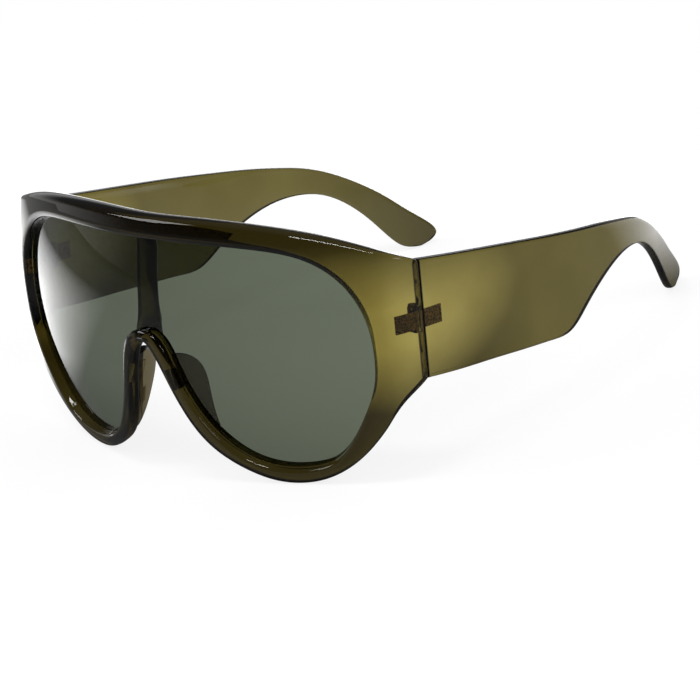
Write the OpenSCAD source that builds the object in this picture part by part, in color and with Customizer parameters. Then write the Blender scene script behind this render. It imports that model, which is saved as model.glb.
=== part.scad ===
// Shield sunglasses: a one-piece plastic front that holds a single lens, two nose pads with pegs,
// and two wide temples that fold on four-knuckle metal hinges. Standing on lobes and temple tips.

/* [Front] */
// Width of the front between the outer faces of its two end pieces
front_w = 146.4; // [140:0.2:154]
// Height of the front from the lobes' lowest point to the brow's top
front_h = 71; // [64:0.5:78]
// Radius of the front's curve seen from above
face_r = 125.5; // [112:0.5:140]
// Radius of the corner that turns the front into the end piece
wrap_r = 15.4; // [12:0.1:18]
// Radius of the front's curve seen from the side
crown_r = 98; // [80:1:120]
// Height of the most forward level above the lower end of the seam
crown_z = 14.4; // [10:0.1:20]
// Depth of the rim from its front face to its back, beside the lens
rim_d = 5.4; // [5.2:0.1:6.4]
// Depth of the rim at its outer edge, below the brow
rim_edge_d = 3.4; // [3:0.1:4.4]
// Thickness of the end piece where it meets the temple
end_t = 3.3; // [3.1:0.1:4]
// Sideways reach of the rounding along the top of the brow
brow_round_w = 2.6; // [1.8:0.1:3]
// Depth of the rounding along the top of the brow
brow_round_d = 3.6; // [2:0.1:4]
// Radius of the rounding along the front's other outer edges
edge_r = 1.4; // [0.8:0.1:1.6]
// Radius of the rounding along the rim's rear outer edge
rear_r = 1; // [0.5:0.1:1.4]
// Width of the rounded lip around the lens opening
lip_w = 2; // [1.4:0.1:2.4]
// How far the lip's inner edge lies behind the front face
lip_drop = 1; // [0.6:0.1:1.2]
// Height of the chamfer on the rim's rear inner edge
rear_lip = 0.4; // [0.2:0.1:0.6]

/* [Lens] */
// Thickness of the lens
lens_t = 1.6; // [1.2:0.1:1.8]
// How far the lens lies behind the lip's inner edge
lens_recess = 1.5; // [1.2:0.1:1.7]
// Depth of the groove that holds the lens
groove_d = 1.1; // [0.9:0.1:1.2]
// Clearance all round the lens in its groove
lens_gap = 0.1; // [0.05:0.01:0.15]

/* [Post] */
// Width of the post behind the lens
post_w = 6; // [4:0.2:7]
// Thickness of the post
post_t = 3; // [2:0.1:3.4]
// Clearance between the lens and the post
post_gap = 0.2; // [0.15:0.05:0.3]
// How far the post's ends sink into the rim
post_sink = 1.5; // [1.3:0.1:1.6]

/* [Nose pads] */
// How far a pad stands out behind the rim
pad_reach = 7; // [5:0.2:8]
// How far a pad stands out behind the rim at its upper and lower ends
pad_end_reach = 1.2; // [1:0.1:1.6]
// Thickness of a pad at its root
pad_t = 2; // [1.6:0.1:2.2]
// How far a pad leans away from the nose at its rear edge
pad_lean = 2; // [1:0.1:2.6]
// Distance of a pad's root from the rim's outer edge
pad_inset = 0.8; // [0.6:0.1:1]
// Clearance between a pad and the rim's back
pad_gap = 0.2; // [0.15:0.01:0.3]
// Width of the peg on a pad
peg_w = 1.2; // [1:0.1:1.3]
// Height of the peg on a pad
peg_h = 5.6; // [4:0.1:5.8]
// Depth of the peg in the rim
peg_d = 2.6; // [2:0.1:2.8]
// How far the peg runs into its pad
peg_root = 1.4; // [1.2:0.1:1.8]
// Distance of the peg's middle from the rim's outer edge
peg_inset = 1.5; // [1.4:0.1:1.6]
// Clearance around the peg in its socket
peg_gap = 0.1; // [0.05:0.01:0.12]

/* [Temples] */
// Length of a temple from the seam to the tip, measured along its outer face
temple_len = 129.5; // [120:0.5:140]
// Height of a temple at the seam
temple_h = 31.2; // [28:0.1:32]
// Thickness of a temple at the seam
temple_t = 3.3; // [3.1:0.1:4]
// Thickness of a temple at its tip
tip_t = 2; // [1.6:0.1:3]
// Length of the straight run before the temple bends inwards
straight_len = 37; // [30:1:46]
// How far the straight run bows outwards
bow = 0.1; // [0:0.1:0.8]
// Radius of the temple's inward bend
bend_r = 148; // [130:1:165]
// Angle of the temple's inward bend
bend_angle = 27; // [20:0.5:28]
// Radius of the rounding along the temple's edges
temple_edge_r = 0.9; // [0.6:0.1:1.3]
// Gap of the seam between front and temple
seam_gap = 0.25; // [0.2:0.05:0.4]

/* [Hinges] */
// Height of the lowest knuckle above the lower end of the seam
hinge_z = 12.2; // [9:0.1:14]
// Height of one knuckle
knuckle_h = 1.5; // [1.2:0.05:1.7]
// Clearance between two knuckles
knuckle_gap = 0.1; // [0.08:0.01:0.15]
// Radius of the knuckles
barrel_r = 1.3; // [1.15:0.05:1.5]
// Clearance between the knuckles and the plastic beside them
barrel_gap = 0.3; // [0.25:0.05:0.5]
// Length of a leaf in the plastic
leaf_len = 7.2; // [6:0.1:7.4]
// Height of a leaf, which lies level with the middle of the knuckles
leaf_h = 4.7; // [4.2:0.1:5.4]
// Thickness of a leaf
leaf_t = 0.7; // [0.5:0.05:0.75]
// Thickness of the plastic between a leaf and the inner face
leaf_cover = 0.3; // [0.2:0.05:0.35]
// Distance of a leaf's root from the seam
leaf_root = 0.25; // [0.15:0.05:0.4]
// Width of the neck that joins a knuckle to its leaf
neck_w = 1.1; // [0.9:0.05:1.2]
// Clearance around a leaf in the plastic
leaf_gap = 0.08; // [0.05:0.01:0.12]
// Radius of the screw's shank
screw_r = 0.6; // [0.5:0.05:0.7]
// Radial clearance of the screw in the knuckles
screw_gap = 0.05; // [0.03:0.01:0.08]
// Radius of the screw's head
head_r = 1.05; // [0.9:0.05:1.2]
// Height of the screw's head
head_h = 0.6; // [0.4:0.05:0.8]
// Width and depth of the slot in the screw's head
slot_w = 0.3; // [0.2:0.05:0.4]

/* [Hidden] */
$fn = 48;
// Degrees in a radian
RAD = 180 / PI;
// Overrun of every cut past the face that it opens
over = 10;
// Half the front's width, where the outer faces meet at the seam
half_w = front_w / 2;
// Plan angle and developed length where the front's curve passes into the corner
turn_start = asin((half_w - wrap_r) / (face_r - wrap_r));
turn_s = face_r * turn_start / RAD;
// Developed length from the middle of the front to the seam
seam_s = turn_s + wrap_r * (90 - turn_start) / RAD;
// Most forward point of the front, measured from the seam
front_y = -(face_r * (1 - cos(turn_start)) + wrap_r * cos(turn_start));
// Front and back of the groove, and back of the lens, behind the front face
groove_front = lip_drop + lens_recess;
groove_back = groove_front + lens_t + 2 * lens_gap;
lens_front = groove_front + lens_gap;
lens_back = lens_front + lens_t;

// Outline of half the front from the top middle round the outer side to the arch over the nose.
// Each row is a point of the lens opening and a point of the outer edge. Along the front they are
// shares of the developed length to the seam, and in height shares of the front's height.
// Rows 5 to 7 reach past the seam, where the end piece is cut off flat.
outline_shares = [
    [0, 0.501, 0, 0.593], [0.211, 0.503, 0.211, 0.6], [0.423, 0.5, 0.435, 0.589],
    [0.622, 0.477, 0.673, 0.556], [0.755, 0.377, 0.87, 0.487], [0.817, 0.249, 1.093, 0.418],
    [0.831, 0.127, 1.128, 0.223], [0.819, 0.002, 1.081, 0.036], [0.766, -0.112, 0.911, -0.045],
    [0.698, -0.224, 0.812, -0.186], [0.616, -0.322, 0.704, -0.305], [0.505, -0.355, 0.566, -0.395],
    [0.387, -0.36, 0.429, -0.418], [0.281, -0.322, 0.322, -0.392], [0.198, -0.22, 0.175, -0.3],
    [0.143, -0.102, 0.111, -0.142], [0.111, 0.015, 0.076, -0.02], [0.079, 0.134, 0.04, 0.082],
    [0, 0.168, 0, 0.125]];
// Rows of the outline that lie above the lens, and steps between two rows above and below it
brow_rows = 6;
brow_steps = 6;
low_steps = 3;
// Shares of the lip's width and drop that round the lip
lip_shares = [[0, 1], [0.18, 0.45], [0.55, 0.1]];
// Steps across the front face, round the outer edge, round the rear edge and across the back
face_steps = 7;
edge_steps = 4;
rear_steps = 2;
back_steps = 5;
// Steps across the lens from its lower to its upper edge
lens_steps = 7;
// Heights between which the outer edge's rounding grows into the brow's, as shares of the height
brow_low_share = 0.46;
brow_high_share = 0.56;
// Developed length past which the rim thins down to the end piece, as a share of that to the seam
thin_share = 0.86;

function clamp(v, low, high) = max(low, min(high, v));
function mix(a, b, t) = a + (b - a) * t;
function cubic(a, b, c, d, t) =
    ((1 - t) ^ 3 * a + (3 * t ^ 3 - 6 * t ^ 2 + 4) * b
    + (-3 * t ^ 3 + 3 * t ^ 2 + 3 * t + 1) * c + t ^ 3 * d) / 6;
function flip(p) = [-p[0], p[1]];

// Point of the front: developed length along it, height, and depth behind the front face
function face_turn(a) =
    a < turn_s ? a / face_r * RAD : min(turn_start + (a - turn_s) / wrap_r * RAD, 90);
function face_x(a, turn) =
    a < turn_s ? face_r * sin(turn) : face_r * sin(turn_start) + wrap_r * (sin(turn) - sin(turn_start));
function face_y(a, turn) = front_y + max(a - seam_s, 0) + (a < turn_s ?
    face_r * (1 - cos(turn)) :
    face_r * (1 - cos(turn_start)) + wrap_r * (cos(turn_start) - cos(turn)));
function face_pt(p, depth) =
    let (
        a = abs(p[0]),
        turn = face_turn(a),
        fade = (1 + cos(180 * clamp((a - turn_s) / (seam_s - turn_s), 0, 1))) / 2,
        lean = (p[1] - crown_z) / crown_r,
        normal = [sin(turn), -cos(turn), lean * fade * cos(turn)],
        base = [face_x(a, turn), face_y(a, turn) + crown_r * lean ^ 2 / 2 * fade, p[1]],
        pt = base - depth * normal / norm(normal)
    )
    [p[0] < 0 ? -pt[0] : pt[0], pt[1], pt[2]];

// Smooth curve through a column pair of the outline, mirrored at both ends
function outline_rows(j) = [for (r = outline_shares) [r[j] * seam_s, r[j + 1] * front_h]];
function padded(pts) = concat([flip(pts[1])], pts, [flip(pts[len(pts) - 2])]);
function on_curve(ext, k) =
    let (i = min(floor(k), len(ext) - 4), t = k - i)
    cubic(ext[i], ext[i + 1], ext[i + 2], ext[i + 3], t);
opening_ext = padded(outline_rows(0));
outer_ext = padded(outline_rows(2));
last_row = len(outline_shares) - 1;
row_places = concat(
    [for (i = [0 : brow_rows - 1]) for (j = [0 : brow_steps - 1]) i + j / brow_steps],
    [for (i = [brow_rows : last_row - 1]) for (j = [0 : low_steps - 1]) i + j / low_steps],
    [last_row]);
opening_half = [for (k = row_places) on_curve(opening_ext, k)];
outer_half = [for (k = row_places) on_curve(outer_ext, k)];
half_count = len(row_places);
function whole(half) =
    concat(half, [for (k = [half_count - 2 : -1 : 1]) flip(half[k])]);

// Thickness of the plastic between the groove and the slope of the rim's back
groove_cover = rear_lip;
// Depth that falls to the end piece's towards the seam
function thinned(depth, s) =
    mix(depth, end_t, clamp((abs(s) / seam_s - thin_share) / (1 - thin_share), 0, 1));
// Share of the brow's shape at a height
function brow_share(z) =
    clamp((z / front_h - brow_low_share) / (brow_high_share - brow_low_share), 0, 1);
function edge_depth(q) = thinned(mix(rim_edge_d, rim_d, brow_share(q[1])), q[0]);
// Depth of the rim's back at a distance from the opening: level behind the groove, then sloping
function back_depth(p, q, distance) =
    let (
        w = norm(q - p),
        s = p[0] + (q[0] - p[0]) / w * distance,
        level = groove_d + groove_cover,
        slope = clamp((distance - level) / (w - rear_r - level), 0, 1)
    )
    mix(thinned(rim_d, s), edge_depth(q), slope);

// Section of the rim between an opening point and an outer point, as points of the front
function rim_section(p, q) =
    let (
        w = norm(q - p),
        u = (q - p) / w,
        round_w = mix(edge_r, brow_round_w, brow_share(q[1])),
        round_d = mix(edge_r, brow_round_d, brow_share(q[1])),
        side_d = edge_depth(q),
        inner = w - rear_r
    )
    concat(
        [for (r = lip_shares) face_pt(p + u * r[0] * lip_w, r[1] * lip_drop)],
        [for (j = [0 : face_steps]) face_pt(p + u * mix(lip_w, w - round_w, j / face_steps), 0)],
        [for (j = [1 : edge_steps]) let (t = 90 * j / edge_steps)
            face_pt(p + u * (w - round_w * (1 - sin(t))), round_d * (1 - cos(t)))],
        [for (j = [0 : rear_steps]) let (t = 90 * j / rear_steps)
            face_pt(p + u * (inner + rear_r * cos(t)), side_d - rear_r * (1 - sin(t)))],
        [for (j = [1 : back_steps]) let (d = mix(inner, rear_lip, j / back_steps))
            face_pt(p + u * d, back_depth(p, q, d))],
        [face_pt(p, rim_d - rear_lip), face_pt(p, groove_back), face_pt(p + u * groove_d, groove_back),
            face_pt(p + u * groove_d, groove_front), face_pt(p, groove_front)]);

// Triangles of a skin over rows of points, closed round each row and either closed or capped
function band(i, rows, cols, j) =
    let (
        a = i * cols + j,
        b = i * cols + (j + 1) % cols,
        c = ((i + 1) % rows) * cols + (j + 1) % cols,
        d = ((i + 1) % rows) * cols + j
    )
    [[a, b, c], [a, c, d]];
function ring_faces(rows, cols) =
    [for (i = [0 : rows - 1]) for (j = [0 : cols - 1]) each band(i, rows, cols, j)];
function loft_faces(rows, cols) = concat(
    [for (i = [0 : rows - 2]) for (j = [0 : cols - 1]) each band(i, rows, cols, j)],
    [for (j = [1 : cols - 2]) [0, j + 1, j]],
    [for (j = [1 : cols - 2]) (rows - 1) * cols * [1, 1, 1] + [0, j, j + 1]]);
function joined(rows) = [for (r = rows) each r];

rim_rows = let (inside = whole(opening_half), outside = whole(outer_half))
    [for (k = [0 : len(inside) - 1]) rim_section(inside[k], outside[k])];
rim_pts = joined(rim_rows);

// Post: place between the brow and the arch, width and drop at its sides, as shares
post_shares = [
    [0, 1.3, 0], [0.08, 1.1, 0], [0.2, 1, 0], [0.5, 1, 0], [0.7, 1.04, 0], [0.8, 1.15, 0.08],
    [0.88, 1.35, 0.22], [0.94, 1.6, 0.5], [1, 1.85, 1]];
post_top = opening_half[0][1] + post_sink;
post_low = opening_half[half_count - 1][1] - post_sink;
post_drop = post_sink;
// Depth of the post's front and of its back, which stays inside the rim at both ends
post_front = lens_back + post_gap;
post_back = post_front + post_t;
post_end = rim_d - rear_lip;
// Share of the post's half length over which its back rises out of the rim
thin_end_share = 0.3;
// Places of the bevel between the post's sides and its back, as shares of thickness and half width
bevel_deep_share = 0.6;
bevel_side_share = 0.7;
function post_section(r) =
    let (
        z = mix(post_top, post_low, r[0]),
        half = post_w / 2 * r[1],
        sag = z - post_drop * r[2],
        deep = mix(post_end, post_back, clamp((1 - abs(2 * r[0] - 1)) / thin_end_share, 0, 1)),
        side = mix(post_front, deep, bevel_deep_share)
    )
    [face_pt([-half, sag], post_front), face_pt([0, z], post_front), face_pt([half, sag], post_front),
        face_pt([half, sag], side), face_pt([half * bevel_side_share, (z + sag) / 2], deep),
        face_pt([0, z], deep), face_pt([-half * bevel_side_share, (z + sag) / 2], deep),
        face_pt([-half, sag], side)];

// Temple: upper and lower edge, along its length and in height, as shares of length and height
top_shares = [
    [0, 1], [0.108, 0.944], [0.216, 0.895], [0.324, 0.846], [0.417, 0.802], [0.494, 0.765],
    [0.571, 0.732], [0.648, 0.682], [0.71, 0.637], [0.772, 0.542], [0.833, 0.404], [0.885, 0.261],
    [0.929, 0.102], [0.975, -0.032], [1.004, -0.148], [0.978, -0.226]];
low_shares = [
    [0, 0], [0.093, -0.028], [0.185, -0.033], [0.278, -0.053], [0.355, -0.058], [0.418, -0.084],
    [0.473, 0.102], [0.536, 0.26], [0.604, 0.374], [0.672, 0.415], [0.74, 0.381], [0.8, 0.236],
    [0.847, 0.054], [0.888, -0.149], [0.918, -0.26], [0.957, -0.261]];
temple_steps = 4;
function edge_rows(shares) = [for (r = shares) [r[0] * temple_len, r[1] * temple_h]];
function ended(pts) =
    let (n = len(pts))
    concat([2 * pts[0] - pts[1]], pts, [2 * pts[n - 1] - pts[n - 2]]);
top_ext = ended(edge_rows(top_shares));
low_ext = ended(edge_rows(low_shares));
temple_count = (len(top_shares) - 1) * temple_steps;

// Point of a temple: length along its outer face, height, and depth inside that face
function temple_turn(s) = clamp((s - straight_len) / bend_r * RAD, 0, bend_angle);
function temple_pt(p, depth) =
    let (
        s = p[0],
        turn = temple_turn(s),
        rest = max(s - straight_len - bend_r * bend_angle / RAD, 0),
        swell = s < straight_len ? bow * sin(180 * clamp(s / straight_len, 0, 1)) : 0,
        x = half_w + swell - bend_r * (1 - cos(turn)) - rest * sin(bend_angle),
        y = seam_gap + min(s, straight_len) + bend_r * sin(turn) + rest * cos(bend_angle)
    )
    [x - depth * cos(turn), y - depth * sin(turn), p[1]];
// Largest edge radius as a share of a temple section's height and of its thickness
corner_share = 0.3;
corner_deep_share = 0.45;
// Section of a temple from its lower to its upper edge and back along its inner face
function temple_section(low, top) =
    let (
        h = norm(top - low),
        u = (top - low) / h,
        t = mix(temple_t, tip_t, clamp((low[0] + top[0]) / 2 / temple_len, 0, 1)),
        r = min(temple_edge_r, corner_share * h, corner_deep_share * t),
        c = r * (1 - cos(45)),
        marks = [
            [0, r], [c, c], [r, 0], [h / 3, 0], [2 * h / 3, 0], [h - r, 0], [h - c, c], [h, r],
            [h, t - r], [h - c, t - c], [h - r, t], [2 * h / 3, t], [h / 3, t], [r, t], [c, t - c],
            [0, t - r]]
    )
    [for (m = marks) temple_pt(low + u * m[0], m[1])];
temple_rows = [for (i = [0 : temple_count])
    temple_section(on_curve(low_ext, i / temple_steps), on_curve(top_ext, i / temple_steps))];
temple_pts = joined(temple_rows);

// Stance: the tilt at which lobes and temple tips both touch the ground
function drop_height(p, tilt) = p[2] * cos(tilt) - p[1] * sin(tilt);
function lowest(pts, tilt) =
    let (heights = [for (p = pts) drop_height(p, tilt)])
    pts[search(min(heights), heights)[0]];
function next_tilt(tilt) =
    let (a = lowest(rim_pts, tilt), b = lowest(temple_pts, tilt))
    atan((b[2] - a[2]) / (b[1] - a[1]));
rest_tilt = next_tilt(next_tilt(next_tilt(0)));
function tilted_y(p) = p[1] * cos(rest_tilt) + p[2] * sin(rest_tilt);
shift_z = -drop_height(lowest(rim_pts, rest_tilt), rest_tilt);
shift_y = -(min([for (p = rim_pts) tilted_y(p)]) + max([for (p = temple_pts) tilted_y(p)])) / 2;
module stance() {
    translate([0, shift_y, shift_z]) rotate([-rest_tilt, 0, 0]) children();
}
module right_side() {
    mirror([1, 0, 0]) children();
}

// Hinge: axis, knuckle levels and leaf faces of the left side
axis_x = half_w - end_t - barrel_r - barrel_gap;
axis_y = seam_gap / 2;
knuckle_step = knuckle_h + knuckle_gap;
barrel_h = 3 * knuckle_step + knuckle_h;
leaf_x = half_w - end_t + leaf_cover;
leaf_z = hinge_z + (barrel_h - leaf_h) / 2;
knuckle_top = hinge_z + barrel_h;

// Nose pad: upper and lower end as rows of the outline, steps between them and across the root,
// and the row of the peg
pad_top_row = 16.5;
pad_low_row = 13.8;
pad_steps = 14;
root_steps = 8;
peg_row = 15.8;
// Rows of the outline above and below the peg's that give its slant
peg_slant_rows = 0.4;
// Share that draws a pad's longest reach towards its upper end
pad_skew_share = 0.68;
// Places from a pad's root to its rear edge and its thickness there, as shares
pad_shares = [[0, 1], [0.45, 0.95], [0.8, 0.8], [0.95, 0.55], [1, 0.2]];
function inward(k) =
    let (q = on_curve(outer_ext, k), p = on_curve(opening_ext, k))
    (p - q) / norm(p - q);
// Depth of the rim's back at a distance from its outer edge
function behind(k, u) =
    let (q = on_curve(outer_ext, k), p = on_curve(opening_ext, k))
    back_depth(p, q, norm(q - p) - u);
// Point of a pad: side is -1 on the face beside the nose and 1 on the other one
pad_mid = pad_inset + pad_t / 2;
function pad_pt(k, reach, r, side) =
    let (
        lean = pad_lean * reach / pad_reach * r[0] ^ 1.5,
        root = behind(k, pad_mid + side * pad_t / 2),
        tip = behind(k, pad_mid) + reach
    )
    face_pt(
        on_curve(outer_ext, k) + inward(k) * (pad_mid + lean + side * r[1] * pad_t / 2),
        mix(root, tip, r[0]) + pad_gap);
function pad_section(t) =
    let (
        k = mix(pad_top_row, pad_low_row, t),
        reach = mix(pad_end_reach, pad_reach, sin(180 * t ^ pad_skew_share))
    )
    concat(
        [for (j = [len(pad_shares) - 1 : -1 : 0]) pad_pt(k, reach, pad_shares[j], 1)],
        [for (j = [1 : root_steps - 1]) pad_pt(k, reach, pad_shares[0], 1 - 2 * j / root_steps)],
        [for (r = pad_shares) pad_pt(k, reach, r, -1)]);
peg_low = on_curve(outer_ext, peg_row - peg_slant_rows);
peg_high = on_curve(outer_ext, peg_row + peg_slant_rows);
peg_turn = atan((peg_high[0] - peg_low[0]) / (peg_high[1] - peg_low[1]));
peg_mid = face_pt(
    on_curve(outer_ext, peg_row) + inward(peg_row) * peg_inset, behind(peg_row, peg_inset));
// Peg of the left pad, or its socket when grown by a clearance
module peg(grow) {
    back = grow > 0 ? over : peg_root;
    translate(peg_mid) rotate([0, peg_turn, 0])
        translate([-peg_w / 2 - grow, -peg_d - grow, -peg_h / 2 - grow])
            cube([peg_w + 2 * grow, peg_d + grow + back, peg_h + 2 * grow]);
}

// Slot for a leaf in the plastic and the notch for its necks, seen from the seam towards +Y
module leaf_slot() {
    translate([leaf_x - leaf_gap, -over, leaf_z - leaf_gap])
        cube([leaf_t + 2 * leaf_gap, over + leaf_root + leaf_len + leaf_gap, leaf_h + 2 * leaf_gap]);
    translate([leaf_x - over, -over, hinge_z - leaf_gap])
        cube([over + leaf_t + leaf_gap, over + leaf_root + neck_w + leaf_gap, barrel_h + 2 * leaf_gap]);
}
module knuckle(i) {
    difference() {
        union() {
            translate([axis_x, axis_y, hinge_z + i * knuckle_step]) cylinder(r = barrel_r, h = knuckle_h);
            children();
        }
        translate([axis_x, axis_y, hinge_z - over])
            cylinder(r = screw_r + screw_gap, h = barrel_h + 2 * over);
    }
}
// Neck of one knuckle, starting at the given place along Y
module neck(i, start) {
    translate([axis_x, start, hinge_z + i * knuckle_step])
        cube([leaf_x + leaf_t - axis_x, neck_w, knuckle_h]);
}

module front_frame() {
    color([0.34, 0.31, 0.17]) stance() difference() {
        union() {
            polyhedron(rim_pts, ring_faces(len(rim_rows), len(rim_rows[0])), convexity = 10);
            polyhedron(joined([for (r = post_shares) post_section(r)]),
                loft_faces(len(post_shares), 8), convexity = 4);
        }
        translate([-front_w, 0, -front_h]) cube([2 * front_w, front_w, 2 * front_h]);
        mirror([0, 1, 0]) leaf_slot();
        right_side() mirror([0, 1, 0]) leaf_slot();
        peg(peg_gap);
        right_side() peg(peg_gap);
    }
}

// Lens: columns between paired points of the opening's upper and lower half, with a point at each end
lens_reach = groove_d - lens_gap;
lens_mid = brow_rows * brow_steps;
function lens_edge(k) =
    let (p = opening_half[k], q = outer_half[k])
    p + (q - p) / norm(q - p) * lens_reach;
function lens_at(c, t) =
    let (k = abs(c), p = mix(lens_edge(half_count - 1 - k), lens_edge(k), t))
    c < 0 ? flip(p) : p;
lens_cols = 2 * lens_mid - 1;
function lens_sheet(depth) = [for (c = [1 - lens_mid : lens_mid - 1]) for (j = [0 : lens_steps])
    face_pt(lens_at(c, j / lens_steps), depth)];
lens_sheet_pts = lens_cols * (lens_steps + 1);
lens_pts = concat(lens_sheet(lens_front), lens_sheet(lens_back), [
    for (side = [-1, 1]) for (depth = [lens_front, lens_back])
        face_pt([side * lens_edge(lens_mid)[0], lens_edge(lens_mid)[1]], depth)]);
// Two triangles between four points
function quad(a, b, c, d) = [[a, b, c], [a, c, d]];
function sheet_quads(start, flipped) =
    [for (c = [0 : lens_cols - 2]) for (j = [0 : lens_steps - 1])
        let (a = start + c * (lens_steps + 1) + j, b = a + lens_steps + 1)
        each flipped ? quad(a, a + 1, b + 1, b) : quad(a, b, b + 1, a + 1)];
// Walls between front and back sheet along the lower and upper edge
function wall_quads(j, flipped) =
    [for (c = [0 : lens_cols - 2])
        let (a = c * (lens_steps + 1) + j, b = a + lens_steps + 1, n = lens_sheet_pts)
        each flipped ? quad(a, b, b + n, a + n) : quad(a, a + n, b + n, b)];
// Point and closing triangles at one end of the lens
function end_faces(c, tip, flipped) =
    let (
        n = lens_sheet_pts,
        a = c * (lens_steps + 1),
        b = a + lens_steps,
        fan = concat(
            [for (j = [0 : lens_steps - 1]) [a + j, tip, a + j + 1]],
            [for (j = [0 : lens_steps - 1]) [n + a + j, n + a + j + 1, tip + 1]],
            quad(a, a + n, tip + 1, tip),
            quad(b, tip, tip + 1, b + n))
    )
    flipped ? [for (f = fan) [f[0], f[2], f[1]]] : fan;
module shield_lens() {
    faces = concat(
        sheet_quads(0, true), sheet_quads(lens_sheet_pts, false), wall_quads(0, true),
        wall_quads(lens_steps, false),
        end_faces(0, 2 * lens_sheet_pts, false),
        end_faces(lens_cols - 1, 2 * lens_sheet_pts + 2, true));
    color([0.36, 0.39, 0.34, 0.75]) stance() polyhedron(lens_pts, faces, convexity = 4);
}

module pad() {
    color([0.36, 0.33, 0.2]) stance() union() {
        polyhedron(joined([for (i = [0 : pad_steps]) pad_section(1 - i / pad_steps)]),
            loft_faces(pad_steps + 1, 2 * len(pad_shares) + root_steps - 1), convexity = 4);
        peg(0);
    }
}
module nose_pad_left() {
    pad();
}
module nose_pad_right() {
    right_side() pad();
}

module temple() {
    color([0.42, 0.38, 0.2]) stance() difference() {
        polyhedron(temple_pts, loft_faces(temple_count + 1, len(temple_rows[0])), convexity = 6);
        translate([0, seam_gap, 0]) leaf_slot();
    }
}
module temple_left() {
    temple();
}
module temple_right() {
    right_side() temple();
}

// Front leaf with the first and third knuckle
module front_hinge() {
    color([0.45, 0.38, 0.28]) stance() union() {
        translate([leaf_x, -leaf_root - leaf_len, leaf_z]) cube([leaf_t, leaf_len, leaf_h]);
        for (i = [0, 2]) knuckle(i) neck(i, -leaf_root - neck_w);
    }
}
module front_hinge_left() {
    front_hinge();
}
module front_hinge_right() {
    right_side() front_hinge();
}

// Temple leaf with the second and fourth knuckle
module temple_hinge() {
    color([0.45, 0.38, 0.28]) stance() union() {
        translate([leaf_x, seam_gap + leaf_root, leaf_z]) cube([leaf_t, leaf_len, leaf_h]);
        for (i = [1, 3]) knuckle(i) neck(i, seam_gap + leaf_root);
    }
}
module temple_hinge_left() {
    temple_hinge();
}
module temple_hinge_right() {
    right_side() temple_hinge();
}

module screw() {
    color([0.4, 0.36, 0.3]) stance() difference() {
        translate([axis_x, axis_y, hinge_z]) union() {
            cylinder(r = screw_r, h = knuckle_top + knuckle_gap - hinge_z);
            translate([0, 0, knuckle_top + knuckle_gap - hinge_z]) cylinder(r = head_r, h = head_h);
        }
        translate([axis_x - slot_w / 2, axis_y - over / 2, knuckle_top + knuckle_gap + head_h - slot_w])
            cube([slot_w, over, over]);
    }
}
module hinge_screw_left() {
    screw();
}
module hinge_screw_right() {
    right_side() screw();
}

front_frame();
shield_lens();
nose_pad_left();
nose_pad_right();
temple_left();
temple_right();
front_hinge_left();
front_hinge_right();
temple_hinge_left();
temple_hinge_right();
hinge_screw_left();
hinge_screw_right();
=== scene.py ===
"""Shield sunglasses in clear olive plastic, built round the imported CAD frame.

One moulded front holds a single grey-green lens. Two wide temples with hooked ear ends fold on
small metal hinges that are sunk in the plastic, and two nose pads stand behind the rim.
Lengths are in metres, in the CAD frame: +X to the wearer's left, -Y forwards and +Z up.
"""

import math

import bmesh
import bpy
import numpy as np
from bpy.props import FloatProperty, FloatVectorProperty, PointerProperty
from mathutils import Matrix, Vector


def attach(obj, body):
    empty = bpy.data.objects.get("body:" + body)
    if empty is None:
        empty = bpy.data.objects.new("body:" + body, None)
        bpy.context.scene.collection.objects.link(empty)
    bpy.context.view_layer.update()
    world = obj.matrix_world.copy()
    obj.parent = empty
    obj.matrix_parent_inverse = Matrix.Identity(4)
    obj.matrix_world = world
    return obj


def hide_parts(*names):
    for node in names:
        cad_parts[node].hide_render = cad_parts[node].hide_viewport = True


bl_info = {
    "name": "Shield sunglasses",
    "version": (1, 0, 0),
    "blender": (4, 5, 0),
    "location": "View3D > Sidebar > Sunglasses",
    "description": "Shield sunglasses in clear olive plastic, piece by piece",
    "category": "Object",
}

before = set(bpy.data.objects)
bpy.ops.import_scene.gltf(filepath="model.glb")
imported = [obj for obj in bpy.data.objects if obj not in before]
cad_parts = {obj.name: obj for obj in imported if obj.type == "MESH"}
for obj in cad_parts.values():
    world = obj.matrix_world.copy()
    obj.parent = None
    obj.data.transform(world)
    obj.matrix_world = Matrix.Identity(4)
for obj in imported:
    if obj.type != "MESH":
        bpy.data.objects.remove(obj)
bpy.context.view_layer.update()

MM = 0.001
# The glasses rest on lobes and temple tips: tilt about X, then shift, from the upright pose
REST = Matrix.Translation((0, -45.7529 * MM, 25.9525 * MM)) @ Matrix.Rotation(
    math.radians(-8.62592), 4, "X"
)

# Outline of half the front, from the top middle round the outer side to the arch over the nose.
# Each row is a point of the lens opening and one of the outer edge: along the front as a share of
# the way to the seam, and up as a share of the front's height.
OUTLINE = np.array([
    (0, 0.501, 0, 0.593), (0.211, 0.503, 0.211, 0.6), (0.423, 0.5, 0.435, 0.589),
    (0.622, 0.477, 0.673, 0.556), (0.755, 0.377, 0.87, 0.487), (0.817, 0.249, 1.093, 0.418),
    (0.831, 0.127, 1.128, 0.223), (0.819, 0.002, 1.081, 0.036), (0.766, -0.112, 0.911, -0.045),
    (0.698, -0.224, 0.812, -0.186), (0.616, -0.322, 0.704, -0.305), (0.505, -0.355, 0.566, -0.395),
    (0.387, -0.36, 0.429, -0.418), (0.281, -0.322, 0.322, -0.392), (0.198, -0.22, 0.175, -0.3),
    (0.143, -0.102, 0.111, -0.142), (0.111, 0.015, 0.076, -0.02), (0.079, 0.134, 0.04, 0.082),
    (0, 0.168, 0, 0.125)])
LAST_ROW = len(OUTLINE) - 1
# Row at the outer side where the lens's upper and lower edge meet
SIDE_ROW = 6

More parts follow.
